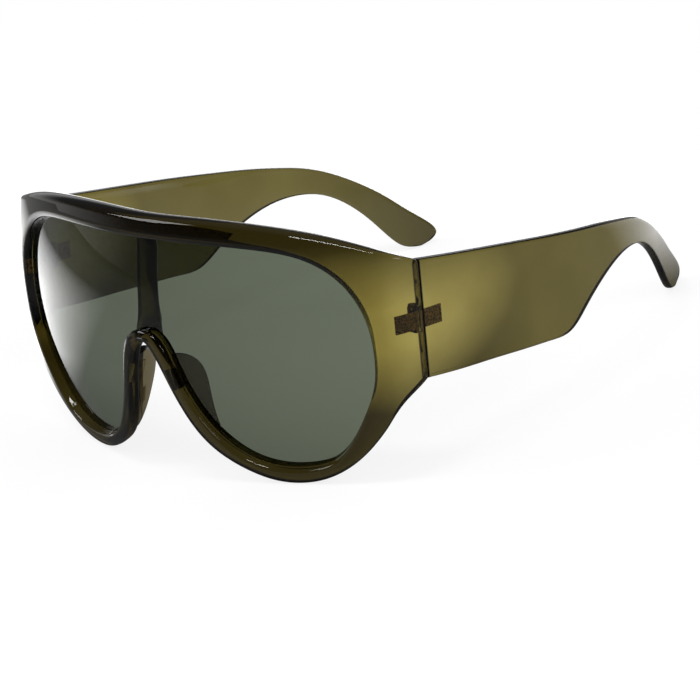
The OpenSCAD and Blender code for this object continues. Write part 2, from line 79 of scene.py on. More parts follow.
# Upper and lower edge of a temple: along its length, and up as a share of its height at the seam
TEMPLE_TOP = np.array([
    (0, 1), (0.108, 0.944), (0.216, 0.895), (0.324, 0.846), (0.417, 0.802), (0.494, 0.765),
    (0.571, 0.732), (0.648, 0.682), (0.71, 0.637), (0.772, 0.542), (0.833, 0.404), (0.885, 0.261),
    (0.929, 0.102), (0.975, -0.032), (1.004, -0.148), (0.978, -0.226)])
TEMPLE_LOW = np.array([
    (0, 0), (0.093, -0.028), (0.185, -0.033), (0.278, -0.053), (0.355, -0.058), (0.418, -0.084),
    (0.473, 0.102), (0.536, 0.26), (0.604, 0.374), (0.672, 0.415), (0.74, 0.381), (0.8, 0.236),
    (0.847, 0.054), (0.888, -0.149), (0.918, -0.26), (0.957, -0.261)])

# The post behind the lens: place between brow and arch, half width and side drop as shares
POST = np.array([
    (0, 1.3, 0), (0.08, 1.1, 0), (0.2, 1, 0), (0.5, 1, 0), (0.7, 1.04, 0), (0.8, 1.15, 0.08),
    (0.88, 1.35, 0.22), (0.94, 1.6, 0.5), (1, 1.85, 1)])
# Share of the post's length at each end over which its back runs into the rim
POST_FADE = 0.15
# Power of the post's superellipse
POST_POWER = 0.66

# Heights between which the brow's shape takes over, as shares of the front's height
BROW_LOW, BROW_HIGH = 0.46, 0.56
# Share of the way to the seam from which the front thins towards the end piece
THIN_FROM = 0.86
# Rows of the half outline at a pad's upper and lower end, and round the middle of its peg
PAD_ROWS = (16.5, 13.8)
PEG_ROWS = (15.4, 15.8, 16.2)
# Powers of a pad's section, of its swell along the rim and of its lean
PAD_POWER, PAD_SKEW, PAD_LEAN_POWER = 0.45, 0.68, 1.5
# Shares of a temple's first and last stretch between rows in which its sections crowd towards the
# ends, and the first stretch's length
START_ROWS, TIP_ROWS = 0.06, 0.3
FIRST_STRETCH = 13 * MM
# How far cuts run past the seam, past the inner faces and out of the rim's back
SEAM_OVERCUT, INNER_OVERCUT, SOCKET_OVERCUT = 1 * MM, 10 * MM, 5 * MM

# Points of the meshes: stations round the rim, and rows of the post, a pad and a temple
RIM_STATIONS, POST_STEPS, PAD_STEPS, TEMPLE_STEPS = 504, 49, 61, 230
# Columns and rows of each face of the lens
LENS_STEPS = (181, 41)
# Faces that meet at more than this angle keep a sharp edge
SHARP_ANGLE = math.radians(34)

# Refractive index of frame, pads and lens
PLASTIC_IOR = 1.49
# Size of the soft clouds in the olive tint, and spacing of a moulded surface's long waves
CLOUD_SIZE, WAVE_SPACING = 11 * MM, 8 * MM
# Depth of the metal's fine grain, and how bright its tarnished specks are beside the clean metal
GRAIN_DEPTH, TARNISHED_SHARE = 0.05 * MM, 0.2
# Each ramp is a start, an end, and what it gives there. By reaches from the painted glow's middle,
# and by metres behind it where a temple and its hook begin, they give the share of the light olive
# tint, a painted glow; the rest takes the dark olive's painted shade.
GLOW_RAMP = (0.22, 0.95, 1, 0)
TEMPLE_RAMP, HOOK_RAMP = (14 * MM, 50 * MM, 0, 0.24), (94 * MM, 130 * MM, 1, 0.05)
# By metres from the seam plane, the painted shade in the seams between front and temples
SEAM_SHADE_RAMP = (0.3 * MM, 0.5 * MM, 1, 0)
# By the noise, the olive tint's darker clouds and the clean grains of the metal
CLOUD_RAMP, GRAIN_RAMP = (0.35, 0.65, 0, 1), (0.4, 0.62, 0, 1)
# By metres from the middle, what mirrored rays see of the floor: a painted shadow under the
# glasses, and less past them
UNDER_RAMP, PAST_RAMP = (0.09, 0.12, 0.1, 1), (0.2, 0.4, 1, 0.05)

# Soft boxes: name, place, width and height in metres, and watts. All point at the glasses' middle.
LAMPS = (
    ("softbox_above", (0.1, -0.25, 1.1), (0.5, 0.14), 3.2),
    ("softbox_left", (-1.0, -0.7, 0.9), (0.5, 0.5), 3.0),
    ("softbox_right", (1.1, 0.2, 0.8), (0.6, 0.4), 2.5),
)
LAMP_TARGET = (0, 0, 0.03)
# Half the floor's side in metres, how far it lies under the lobes, its reflectance and how bright
# it looks
FLOOR_HALF, FLOOR_DROP, PAPER_SHARE, FLOOR_LEVEL = 4, 0.02 * MM, 0.2, 1.03
# The way from the middle to the studio's bright side, and the shares of it between which a way
# gets bright
BRIGHT_SIDE = (-0.7, 0.7, 0)
SIDE_SHARES = (0.1, 0.55)
# How bright the floor looks to mirrored rays on its dim and its bright side
FLOOR_SHINE = (0.08, 3.0)
# How bright the studio looks on its dim and its bright side, the rises of a ray between which it
# darkens, and the share left above, first to refracted and then to mirrored rays
STUDIO_PASSING = ((0.3, 1.0), (0.03, 0.45), 0.1)
STUDIO_SHINE = ((0.12, 0.6), (0.1, 0.3), 0.15)
# How bright it is to rays that light a surface
STUDIO_LIGHTING = 0.55

# Camera: its place, its backward and rightward axes, its sensor's width in millimetres, and its
# focal length and the picture's width in pixels
CAMERA_PLACE = Vector((984.058, -864.494, 508.642)) * MM
CAMERA_BACK = Vector((0.70330452, -0.6137286, 0.35874777))
CAMERA_RIGHT = Vector((0.69954248, 0.68729233, -0.19562611))
SENSOR_WIDTH, FOCAL_PIXELS, PICTURE_PIXELS = 36, 5200, 700


def length(name, description, default):
    """A size in metres that the sidebar shows as a distance."""
    return FloatProperty(
        name=name, description=description, default=default * MM, min=0, subtype="DISTANCE",
        unit="LENGTH", precision=5,
    )


def linear(code):
    """The linear RGB of an sRGB hex colour such as 'A1B2C3'."""
    srgb = np.array([int(code[i:i + 2], 16) for i in (0, 2, 4)]) / 255
    return tuple(np.where(srgb <= 0.04045, srgb / 12.92, ((srgb + 0.055) / 1.055) ** 2.4))


def colour(name, description, code):
    """A colour that the sidebar shows, given as an sRGB hex value."""
    return FloatVectorProperty(
        name=name, description=description, default=linear(code), min=0, max=1, size=3,
        subtype="COLOR",
    )


def density(name, default):
    """How much light a clear piece takes up per metre, where its depth colour is black."""
    return FloatProperty(name=name, description="Absorption per metre", default=default, min=0)


class SUNGLASSES_PG_front(bpy.types.PropertyGroup):
    """Sizes of the moulded front"""

    width: length("Width", "Between the outer faces of the two end pieces", 146.4)
    height: length("Height", "Height that the outline's shares are taken of", 71)
    face_radius: length("Face radius", "Curve of the front seen from above", 125.5)
    wrap_radius: length("Corner radius", "Corner that turns the front into the end piece", 15.4)
    crown_radius: length("Crown radius", "Curve of the front seen from the side", 98)
    crown_height: length("Crown height", "Most forward level above the seam's lower end", 14.4)
    depth: length("Rim depth", "From the rim's front face to its back, beside the lens", 5.4)
    edge_depth: length("Edge depth", "Rim at its outer edge, below the brow", 3.4)
    end_depth: length("End thickness", "End piece where it meets the temple", 3.3)
    brow_round_width: length("Brow rounding width", "Sideways reach of the rounding", 2.6)
    brow_round_depth: length("Brow rounding depth", "Depth of the rounding", 3.6)
    edge_radius: length("Edge radius", "Rounding of the other outer edges", 1.4)
    rear_radius: length("Rear radius", "Rounding of the rear outer edge", 1)
    lip_width: length("Lip width", "Rounded lip round the lens opening", 2)
    lip_drop: length("Lip drop", "The lip's inner edge behind the front face", 1)
    rear_lip: length("Rear lip", "Chamfer on the rear inner edge", 0.4)
    seam_round: length("Seam rounding", "Rounding of the edges at the seam", 0.2)
    post_width: length("Post width", "Post behind the lens", 6)
    post_thickness: length("Post thickness", "Post behind the lens", 3)
    post_gap: length("Post gap", "Clearance between lens and post", 0.2)
    post_sink: length("Post sink", "How far the post's ends run into the rim", 1.5)


class SUNGLASSES_PG_lens(bpy.types.PropertyGroup):
    """Sizes of the lens and its groove"""

    thickness: length("Thickness", "Lens thickness", 1.6)
    recess: length("Recess", "Lens behind the lip's inner edge", 1.5)
    groove: length("Groove depth", "Groove that holds the lens", 1.1)
    gap: length("Gap", "Clearance round the lens in its groove", 0.1)


class SUNGLASSES_PG_pads(bpy.types.PropertyGroup):
    """Sizes of the nose pads"""

    reach: length("Reach", "How far a pad stands out behind the rim", 7)
    end_reach: length("End reach", "Reach at the pad's two ends", 1.2)
    thickness: length("Thickness", "Pad at its root", 2)
    lean: length("Lean", "How far the rear edge leans away from the nose", 2)
    inset: length("Inset", "Root behind the rim's outer edge", 0.8)
    gap: length("Gap", "Between a pad and the rim's back", 0.2)
    peg_width: length("Peg width", "Rectangular peg in the rim", 1.2)
    peg_height: length("Peg height", "Rectangular peg in the rim", 5.6)
    peg_depth: length("Peg depth", "Peg in the rim", 2.6)
    peg_root: length("Peg root", "How far the peg runs into its pad", 1.4)
    peg_inset: length("Peg inset", "Peg's middle from the rim's outer edge", 1.5)
    peg_gap: length("Peg gap", "Clearance round the peg", 0.1)


class SUNGLASSES_PG_temples(bpy.types.PropertyGroup):
    """Sizes of the temples"""

    length: length("Length", "From the seam to the tip along the outer face", 129.5)
    height: length("Height", "Temple at the seam", 31.2)
    thickness: length("Thickness", "Temple at the seam", 3.3)
    tip_thickness: length("Tip thickness", "Temple at its tip", 2)
    straight: length("Straight run", "Length before the temple bends inwards", 37)
    bow: length("Bow", "How far the straight run bows outwards", 0.1)
    bend_radius: length("Bend radius", "Inward bend", 148)
    bend_angle: FloatProperty(
        name="Bend angle", description="Inward bend", default=math.radians(27), min=0,
        subtype="ANGLE", unit="ROTATION",
    )
    edge_radius: length("Edge radius", "Rounding along the edges", 0.9)
    tip_round: length("Tip rounding", "Rounding of the tip's end", 0.8)
    seam_round: length("Seam rounding", "Rounding of the edges at the seam", 0.2)
    seam_gap: length("Seam gap", "Gap between front and temple", 0.25)


class SUNGLASSES_PG_hinges(bpy.types.PropertyGroup):
    """Sizes of the notches that the hinges' knuckles stand in"""

    level: length("Level", "Lowest knuckle above the seam's lower end", 12.2)
    barrel: length("Barrel height", "Height of the four knuckles together", 6.3)
    leaf_side: length("Leaf place", "Inner face of a leaf from the middle plane", 70.2)
    leaf_thickness: length("Leaf thickness", "Thickness of a leaf", 0.7)
    notch: length("Notch depth", "Notch for the necks, from the seam", 1.43)
    gap: length("Gap", "Clearance round the leaf", 0.08)


class SUNGLASSES_PG_glow(bpy.types.PropertyGroup):
    """Where a painted glow makes the olive plastic lightest"""

    forward: length("Forward", "Middle of the glow in front of the frame's middle", 54)
    level: length("Level", "Middle of the glow above the floor", 41)
    height: length("Height", "Reach up and down", 23)
    rear: length("Rear", "Reach along the temples", 60)
    front: length("Front", "Reach along the front", 19)
    wave: length("Wave", "Height of the moulded surface's long waves", 0.004)


class SUNGLASSES_PG_colours(bpy.types.PropertyGroup):
    """Colours of plastic, lens and metal"""

    olive: colour("Olive", "Tint of light that passes the olive plastic's surface", "F2E8A6")
    olive_cloud: colour("Olive cloud", "Darker clouds in that tint", "E4DA98")
    # The dark olive is painted shade on the rim, lobes and hooks
    olive_painted_shade: colour("Dark olive", "That tint where rim and lobes take painted shade", "565034")
    # The seam colour is painted shade in the seams between front and temples
    seam_painted_shade: colour("Seam", "That tint at the sawn ends at the seams", "1E1B12")
    olive_depth: colour("Olive depth", "What is left of light deep in the plastic", "B9B05C")
    lens: colour("Lens", "Tint of light that passes the lens's surface", "E2E8DC")
    lens_depth: colour("Lens depth", "What is left of light deep in the lens", "ADB3A7")
    pad: colour("Pads", "Tint of the nose pads", "7A7364")
    bronze: colour("Bronze", "Stamped hinge metal", "C4A87C")
    steel: colour("Steel", "Screws", "9A948A")
    olive_density: density("Olive density", 450)
    lens_density: density("Lens density", 1800)
    pad_density: density("Pad density", 550)


def smooth_curve(rows, places):
    """Uniform cubic B-spline: the four rows round a place, weighted by the four B-spline
    polynomials of how far the place lies past the second of them."""
    start = np.clip(np.floor(places).astype(int), 0, len(rows) - 4)
    t = (places - start)[:, None]
    weights = ((1 - t) ** 3, 3 * t**3 - 6 * t**2 + 4, -3 * t**3 + 3 * t**2 + 3 * t + 1, t**3)
    return sum(w * rows[start + i] for i, w in enumerate(weights)) / 6


def mix(a, b, share):
    """A value between a and b by a share from 0 to 1."""
    return a + (b - a) * share


def quarter(steps):
    """Angles from 0 to a quarter turn."""
    return np.linspace(0, math.pi / 2, steps)


class Face:
    """The curved face that front, lens and pads share, as a function of the way along it from
    the middle, the height, and the depth behind it."""

    def __init__(self, scene):
        self.front, self.lens = scene.sunglasses_front, scene.sunglasses_lens
        front = self.front
        self.level = self.lens.groove + front.rear_lip
        half = front.width / 2
        face, wrap = front.face_radius, front.wrap_radius
        self.turn_start = math.asin((half - wrap) / (face - wrap))
        self.to_corner = face * self.turn_start
        self.to_seam = self.to_corner + wrap * (math.pi / 2 - self.turn_start)
        start = self.turn_start
        self.foremost = -(face * (1 - math.cos(start)) + wrap * math.cos(start))

    def points(self, along, up, depth):
        """In plan an arc of the face radius runs into one of the corner radius and then straight
        back. From the side the face leans as a parabola whose lean fades out round the corner.
        Depth goes inwards, square to the face."""
        face, wrap = self.front.face_radius, self.front.wrap_radius
        start = self.turn_start
        a = np.abs(along)
        first = a < self.to_corner
        turn = np.where(
            first, a / face, np.minimum(start + (a - self.to_corner) / wrap, math.pi / 2)
        )
        sine, cosine = np.sin(turn), np.cos(turn)
        x = np.where(first, face * sine, face * math.sin(start) + wrap * (sine - math.sin(start)))
        y = np.where(
            first, face * (1 - cosine),
            face * (1 - math.cos(start)) + wrap * (math.cos(start) - cosine),
        )
        past = np.clip((a - self.to_corner) / (self.to_seam - self.to_corner), 0, 1)
        fade = (1 + np.cos(math.pi * past)) / 2
        lean = (up - self.front.crown_height) / self.front.crown_radius
        y = y + self.foremost + np.maximum(a - self.to_seam, 0)
        y = y + self.front.crown_radius * lean**2 / 2 * fade
        normal = np.stack([sine, -cosine, lean * fade * cosine], axis=-1)
        normal /= np.linalg.norm(normal, axis=-1, keepdims=True)
        points = np.stack([x, y, up + 0 * x], axis=-1) - np.asarray(depth)[..., None] * normal
        points[..., 0] *= np.where(along < 0, -1, 1)
        return points

    def outline(self, places, column):
        """Opening (column 0) or outer edge (column 2) at these places of the half outline, as
        the way along the face and the height. The spline is mirrored past both ends."""
        rows = OUTLINE[:, column:column + 2] * (self.to_seam, self.front.height)
        ends = rows[[1, -2]] * (-1, 1)
        return smooth_curve(np.vstack([ends[:1], rows, ends[1:]]), places)

    def brow(self, up):
        """Share of the brow's shape at a height."""
        return np.clip((up / self.front.height - BROW_LOW) / (BROW_HIGH - BROW_LOW), 0, 1)

    def thinned(self, depth, along):
        """A depth that falls to the end piece's near the seam."""
        share = np.clip((np.abs(along) / self.to_seam - THIN_FROM) / (1 - THIN_FROM), 0, 1)
        return mix(depth, self.front.end_depth, share)

    def edge_depth(self, outer):
        """Depth of the rim at points of its outer edge: the full depth only along the brow."""
        depth = mix(self.front.edge_depth, self.front.depth, self.brow(outer[:, 1:]))
        return self.thinned(depth, outer[:, :1])

    def back_depth(self, opening, outer, distance):
        """Depth of the rim's back at distances from the opening: level behind the groove and then
        a straight slope to the depth of the outer edge."""
        width = np.linalg.norm(outer - opening, axis=1)[:, None]
        along = opening[:, :1] + (outer - opening)[:, :1] / width * distance
        slope = (distance - self.level) / (width - self.front.rear_radius - self.level)
        level_depth = self.thinned(self.front.depth, along)
        return mix(level_depth, self.edge_depth(outer), np.clip(slope, 0, 1))


def ring_quads(rows, columns):
    """Quads of a grid that is closed both ways."""
    i, j = np.meshgrid(np.arange(rows), np.arange(columns), indexing="ij")
    k, m = (i + 1) % rows, (j + 1) % columns
    i, k = i * columns, k * columns
    return np.stack([i + j, i + m, k + m, k + j], -1).reshape(-1, 4)


def sheet_quads(rows, columns):
    """Quads of an open grid."""
    i, j = np.meshgrid(np.arange(rows - 1), np.arange(columns - 1), indexing="ij")
    a = i * columns + j
    return np.stack([a, a + 1, a + columns + 1, a + columns], -1).reshape(-1, 4)


def tube_quads(rows, columns):
    """Quads of a grid that is closed round each row, and the two caps."""
    quads = ring_quads(rows, columns)[: (rows - 1) * columns].tolist()
    last = (rows - 1) * columns
    return quads + [list(range(columns))[::-1], list(range(last, last + columns))]


def mesh_object(name, points, faces):
    """A mesh object of these points and faces, with its doubles merged and its faces outwards."""
    mesh = bpy.data.meshes.new(name)
    mesh.from_pydata(np.asarray(points).reshape(-1, 3), [], faces)
    shape = bmesh.new()
    shape.from_mesh(mesh)
    bmesh.ops.remove_doubles(shape, verts=shape.verts, dist=1e-7)
    bmesh.ops.recalc_face_normals(shape, faces=shape.faces)
    shape.to_mesh(mesh)
    shape.free()
    made = bpy.data.objects.new(name, mesh)
    bpy.context.scene.collection.objects.link(made)
    return made


def box_object(name, low, high):
    """A box between two corners, used to cut or to build up another piece."""
    low, high = np.array(low), np.array(high)
    corners = np.array([(i & 1, i >> 1 & 1, i >> 2 & 1) for i in range(8)])
    faces = [(0, 1, 3, 2), (4, 6, 7, 5), (0, 4, 5, 1), (2, 3, 7, 6), (0, 2, 6, 4), (1, 5, 7, 3)]
    return mesh_object(name, low + corners * (high - low), faces)


def combine(piece, operation, others):
    """Joins other solids to the piece or cuts them out of it, and removes them."""
    for other in others:
        step = piece.modifiers.new(operation, "BOOLEAN")
        step.operation = operation
        step.solver = "EXACT"
        step.object = other
    bpy.context.view_layer.update()
    made = bpy.data.meshes.new_from_object(
        piece.evaluated_get(bpy.context.evaluated_depsgraph_get())
    )
    piece.modifiers.clear()
    old, piece.data = piece.data, made
    made.name = piece.name
    bpy.data.meshes.remove(old)
    for other in others:
        mesh = other.data
        bpy.data.objects.remove(other)
        bpy.data.meshes.remove(mesh)


def mirrored(piece, name):
    """The piece's mirror image in the middle plane, with its faces outwards."""
    made = bpy.data.objects.new(name, piece.data.copy())
    made.data.transform(Matrix.Scale(-1, 4, (1, 0, 0)))
    made.data.flip_normals()
    made.data.name = name
    bpy.context.scene.collection.objects.link(made)
    return made


def finish_piece(piece, material, body, slot, *nodes):
    """Sets the piece down at rest, shades it smooth up to its edges, and ties it to the frame."""
    piece.data.transform(REST)
    piece.data.polygons.foreach_set("use_smooth", [True] * len(piece.data.polygons))
    piece.data.set_sharp_from_angle(angle=SHARP_ANGLE)
    piece.data.materials.clear()
    piece.data.materials.append(material)
    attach(piece, body)
    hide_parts(*nodes)


def rim_grid(face):
    """Each station pairs a point of the opening with one of the outer edge. Across it runs the
    section: a quarter ellipse for the lip, the flat face, a quarter ellipse at the outer edge, a
    quarter circle at the rear edge, the back, and the groove that holds the lens."""
    front, lens = face.front, face.lens
    stations = np.linspace(0, 2 * LAST_ROW, RIM_STATIONS, endpoint=False)
    far = stations > LAST_ROW
    half = np.where(far, 2 * LAST_ROW - stations, stations)
    side = np.where(far, -1, 1)[:, None] * (1, 0) + (0, 1)
    opening, outer = face.outline(half, 0) * side, face.outline(half, 2) * side
    width = np.linalg.norm(outer - opening, axis=1)[:, None]
    across = (outer - opening) / width
    brow = face.brow(outer[:, 1:])
    round_width = mix(front.edge_radius, front.brow_round_width, brow)
    round_depth = mix(front.edge_radius, front.brow_round_depth, brow)
    edge_depth = face.edge_depth(outer)
    inner = width - front.rear_radius
    lip, edge, rear = quarter(9), quarter(12)[1:], quarter(7)
    level, back = np.linspace(0, 1, 14), np.linspace(0, 1, 10)[1:]
    flat = np.zeros_like(width)

    def span(distance, depth):
        return distance + flat, depth + flat

    groove_front = front.lip_drop + lens.recess
    groove_back = groove_front + lens.thickness + 2 * lens.gap
    parts = [
        span(front.lip_width * (1 - np.cos(lip[:-1])), front.lip_drop * (1 - np.sin(lip[:-1]))),
        span(mix(front.lip_width, width - round_width, level), 0 * level),
        span(width - round_width * (1 - np.sin(edge)), round_depth * (1 - np.cos(edge))),
        span(inner + front.rear_radius * np.cos(rear),
             edge_depth - front.rear_radius * (1 - np.sin(rear))),
    ]
    behind = mix(inner, front.rear_lip, back)
    parts.append((behind, face.back_depth(opening, outer, behind)))
    wall = [
        (0, front.depth - front.rear_lip), (0, groove_back), (lens.groove, groove_back),
        (lens.groove, groove_front), (0, groove_front),
        (0, mix(groove_front, front.lip_drop, 0.5)),
    ]
    parts += [span(np.array([d]), np.array([z])) for d, z in wall]
    distance = np.concatenate([p[0] for p in parts], axis=1)
    depth = np.concatenate([p[1] for p in parts], axis=1)
    place = opening[:, None] + across[:, None] * distance[..., None]
    return face.points(place[..., 0], place[..., 1], depth)


def post_grid(face):
    """Rows run from the brow down to the arch, where the post flares. Across, the front is flat
    beside the lens and the back is a superellipse, whose height falls towards both sides."""
    front, lens = face.front, face.lens
    place = np.linspace(0, 1, POST_STEPS)
    half = front.post_width / 2 * np.interp(place, POST[:, 0], POST[:, 1])[:, None]
    drop = front.post_sink * np.interp(place, POST[:, 0], POST[:, 2])[:, None]
    top = face.outline(np.array([0.0]), 0)[0, 1] + front.post_sink
    low = face.outline(np.array([float(LAST_ROW)]), 0)[0, 1] - front.post_sink
    level = mix(top, low, place)[:, None]
    near = front.lip_drop + lens.recess + lens.gap + lens.thickness + front.post_gap
    share = np.clip((1 - np.abs(2 * place - 1)) / (2 * POST_FADE), 0, 1)[:, None]
    far = mix(front.depth - front.rear_lip, near + front.post_thickness, share)
    turn = np.linspace(0, math.pi, 25)[None]
    across = np.sign(np.cos(turn)) * np.abs(np.cos(turn)) ** POST_POWER
    deep = np.abs(np.sin(turn)) ** POST_POWER
    flat = np.linspace(-1, 1, 9)[None, 1:-1]
    across = np.concatenate([across, flat], axis=1)
    deep = np.concatenate([deep, 0 * flat], axis=1)
    return face.points(half * across, level - drop * across**2, near + (far - near) * deep)


def cut_at_seam(piece, rounding):
    """Cuts the front off flat at the seam plane y = 0, and draws the skin near it inwards along
    a quarter circle, so that the cut's edge is rounded."""
    shape = bmesh.new()
    shape.from_mesh(piece.data)
    turns = quarter(6)
    for turn in turns:
        everything = shape.verts[:] + shape.edges[:] + shape.faces[:]
        bmesh.ops.bisect_plane(
            shape, geom=everything, dist=1e-8, plane_co=(0, -rounding * (1 - math.sin(turn)), 0),
            plane_no=(0, 1, 0), clear_outer=bool(turn == turns[-1]),
        )
    shape.normal_update()
    for point in [v for v in shape.verts if v.co.y > -rounding]:
        outwards = Vector((point.normal.x, 0, point.normal.z)).normalized()
        rest = min(1, 1 + point.co.y / rounding)
        point.co -= outwards * rounding * (1 - math.sqrt(max(0, 1 - rest**2)))
    bmesh.ops.holes_fill(shape, edges=[e for e in shape.edges if e.is_boundary], sides=0)
    bmesh.ops.recalc_face_normals(shape, faces=shape.faces)
    shape.to_mesh(piece.data)
    shape.free()


def notch_boxes(hinges, temple_side):
    """Boxes for the notch in which the necks of a leaf stand, on the wearer's left and right.
    The front's lie in front of the seam plane and the temples' behind it."""
    low, high = hinges.level - hinges.gap, hinges.level + hinges.barrel + hinges.gap
    side = hinges.leaf_side + hinges.leaf_thickness + hinges.gap
    near, far = -hinges.notch, SEAM_OVERCUT
    if temple_side:
        near, far = -SEAM_OVERCUT, bpy.context.scene.sunglasses_temples.seam_gap + hinges.notch
    inner = hinges.leaf_side - INNER_OVERCUT
    return ((inner, near, low), (side, far, high)), ((-side, near, low), (-inner, far, high))


def pad_peg(face, pads, grow, root):
    """The left pad's peg, turned to follow the rim, or its socket when grown by a clearance."""
    edge = face.outline(np.array(PEG_ROWS), 2)
    opening = face.outline(np.array(PEG_ROWS[1:2]), 0)
    width = np.linalg.norm(opening - edge[1])
    depth = face.back_depth(opening, edge[1:2], width - pads.peg_inset)[0, 0]
    middle = face.points(*(edge[1] + (opening[0] - edge[1]) / width * pads.peg_inset), depth)
    turn = math.atan2(*(edge[2] - edge[0]))
    peg = box_object(
        "peg", (-pads.peg_width / 2 - grow, -pads.peg_depth - grow, -pads.peg_height / 2 - grow),
        (pads.peg_width / 2 + grow, root, pads.peg_height / 2 + grow),
    )
    peg.data.transform(Matrix.Translation(middle) @ Matrix.Rotation(turn, 4, "Y"))
    return peg


def lens_grid(face, depth):
    """Each column joins a point of the groove's upper half with one of its lower half. Columns
    crowd towards both sides, where the two halves meet in a point."""
    across = np.linspace(-1, 1, LENS_STEPS[0])
    place = SIDE_ROW * np.sin(np.abs(across) * math.pi / 2)
    reach = face.lens.groove - face.lens.gap

    def edge(places):
        inner, outer = face.outline(places, 0), face.outline(places, 2)
        out = (outer - inner) / np.linalg.norm(outer - inner, axis=1, keepdims=True)
        return (inner + out * reach) * np.stack([np.sign(across + 1e-12), np.ones_like(across)], 1)

    upper = edge(place)
    lower = edge(LAST_ROW - place * (LAST_ROW - SIDE_ROW) / SIDE_ROW)
    share = np.linspace(0, 1, LENS_STEPS[1])[:, None]
    rows = mix(lower[:, None], upper[:, None], share)
    return face.points(rows[..., 0], rows[..., 1], np.full(rows.shape[:2], depth))


def pad_grid(face, pads):
    """Rows follow the rim beside the nose. Across, the section is a superellipse that stands out
    behind the rim and leans away from the nose, and its root follows the rim's sloping back. The
    reach swells as a skewed sine."""
    share = np.linspace(0, 1, PAD_STEPS)[:, None]
    place = mix(*PAD_ROWS, share)
    reach = mix(pads.end_reach, pads.reach, np.sin(math.pi * share**PAD_SKEW))
    turn = np.linspace(0, math.pi, 29)[None]
    root = np.linspace(1, -1, 14)[None, 1:-1]
    out = np.concatenate([np.abs(np.sin(turn)) ** PAD_POWER, 0 * root], axis=1)
    side = np.concatenate([-np.cos(turn), root], axis=1)
    edge = face.outline(place[:, 0], 2)
    opening = face.outline(place[:, 0], 0)
    width = np.linalg.norm(opening - edge, axis=1)[:, None]
    half = pads.thickness / 2
    start = pads.inset + half + side * half
    tip = face.back_depth(opening, edge, width - pads.inset - half) + reach
    depth = mix(face.back_depth(opening, edge, width - start), tip, out) + pads.gap
    inset = start + pads.lean * reach / pads.reach * out**PAD_LEAN_POWER
    spot = edge[:, None] + ((opening - edge) / width)[:, None] * inset[..., None]
    return face.points(spot[..., 0], spot[..., 1], depth)


def temple_grid(temples):
    """Rows join a point of the lower with one of the upper edge. Across, the section is a
    rectangle with quarter-circle corners. The outer face runs straight with a slight bow and
    then bends inwards on an arc. Towards both ends the section shrinks along a quarter circle.
    The corners are smaller where the section is low or thin."""
    size = (temples.length, temples.height)
    span = len(TEMPLE_TOP) - 1
    start = temples.seam_round / FIRST_STRETCH * (1 - np.sin(quarter(6)[::-1]))
    run = np.linspace(START_ROWS, span - TIP_ROWS, TEMPLE_STEPS)
    place = np.concatenate([start, run, span - TIP_ROWS * np.cos(quarter(16)[1:])])

    def edge(shares):
        rows = shares * size
        rows = np.vstack([2 * rows[0] - rows[1], rows, 2 * rows[-1] - rows[-2]])
        return smooth_curve(rows, place)

    low, top = edge(TEMPLE_LOW), edge(TEMPLE_TOP)
    middle = (low + top) / 2
    height = np.linalg.norm(top - low, axis=1)[:, None]
    upward = (top - low) / height
    share = np.clip(middle[:, :1] / temples.length, 0, 1)
    thick = mix(temples.thickness, temples.tip_thickness, share)
    ahead = np.array([upward[-1, 1], -upward[-1, 0]])
    to_tip = np.abs((middle - middle[-1]) @ ahead)[:, None]
    tip_round = temples.tip_round
    short = np.clip(1 - to_tip / tip_round, 0, 1)
    tip_inset = tip_round * (1 - np.sqrt(1 - short**2))
    near = np.clip(1 - middle[:, :1] / temples.seam_round, 0, 1)
    seam_inset = temples.seam_round * (1 - np.sqrt(1 - near**2))
    corner = np.minimum(temples.edge_radius, 0.3 * height)
    corner = np.minimum(corner, (thick - 2 * tip_inset) / 2.2)
    low_up, top_up = seam_inset, height - seam_inset
    near_face, far_face = seam_inset + tip_inset, thick - seam_inset - tip_inset
    section = section_loop(low_up, top_up, near_face, far_face, corner)
    return temple_points(temples, low, upward, section)


def section_loop(low, top, near, far, corner):
    """Way up and depth of a rounded rectangle's outline, corner by corner."""
    arc = quarter(8)[None]
    level = np.linspace(0, 1, 12)[None, 1:-1]
    up, depth = [], []
    corners = [(low + corner, near + corner), (top - corner, near + corner),
               (top - corner, far - corner), (low + corner, far - corner)]
    for quarters, (centre_up, centre_depth) in enumerate(corners):
        turn = arc + math.pi / 2 * quarters
        up.append(centre_up - corner * np.cos(turn))
        depth.append(centre_depth - corner * np.sin(turn))
        if quarters % 2 == 0:
            ends = (low + corner, top - corner)[:: 1 if quarters == 0 else -1]
            up.append(mix(*ends, level))
            depth.append((near if quarters == 0 else far) + 0 * level + 0 * low)
    return np.concatenate(up, axis=1), np.concatenate(depth, axis=1)


def temple_points(temples, low, upward, section):
    """Points at these ways up and depths from the lower edge's points."""
    up, depth = section
    along = low[:, :1] + upward[:, :1] * up
    height = low[:, 1:] + upward[:, 1:] * up
    run, radius, angle = temples.straight, temples.bend_radius, temples.bend_angle
    turn = np.clip((along - run) / radius, 0, angle)
    rest = np.maximum(along - run - radius * angle, 0)
    swell = np.where(along < run, temples.bow * np.sin(math.pi * np.clip(along / run, 0, 1)), 0)
    outer = bpy.context.scene.sunglasses_front.width / 2
    x = outer + swell - radius * (1 - np.cos(turn)) - rest * math.sin(angle)
    y = temples.seam_gap + np.minimum(along, run) + radius * np.sin(turn) + rest * math.cos(angle)
    return np.stack([x - depth * np.cos(turn), y - depth * np.sin(turn), height], axis=-1)


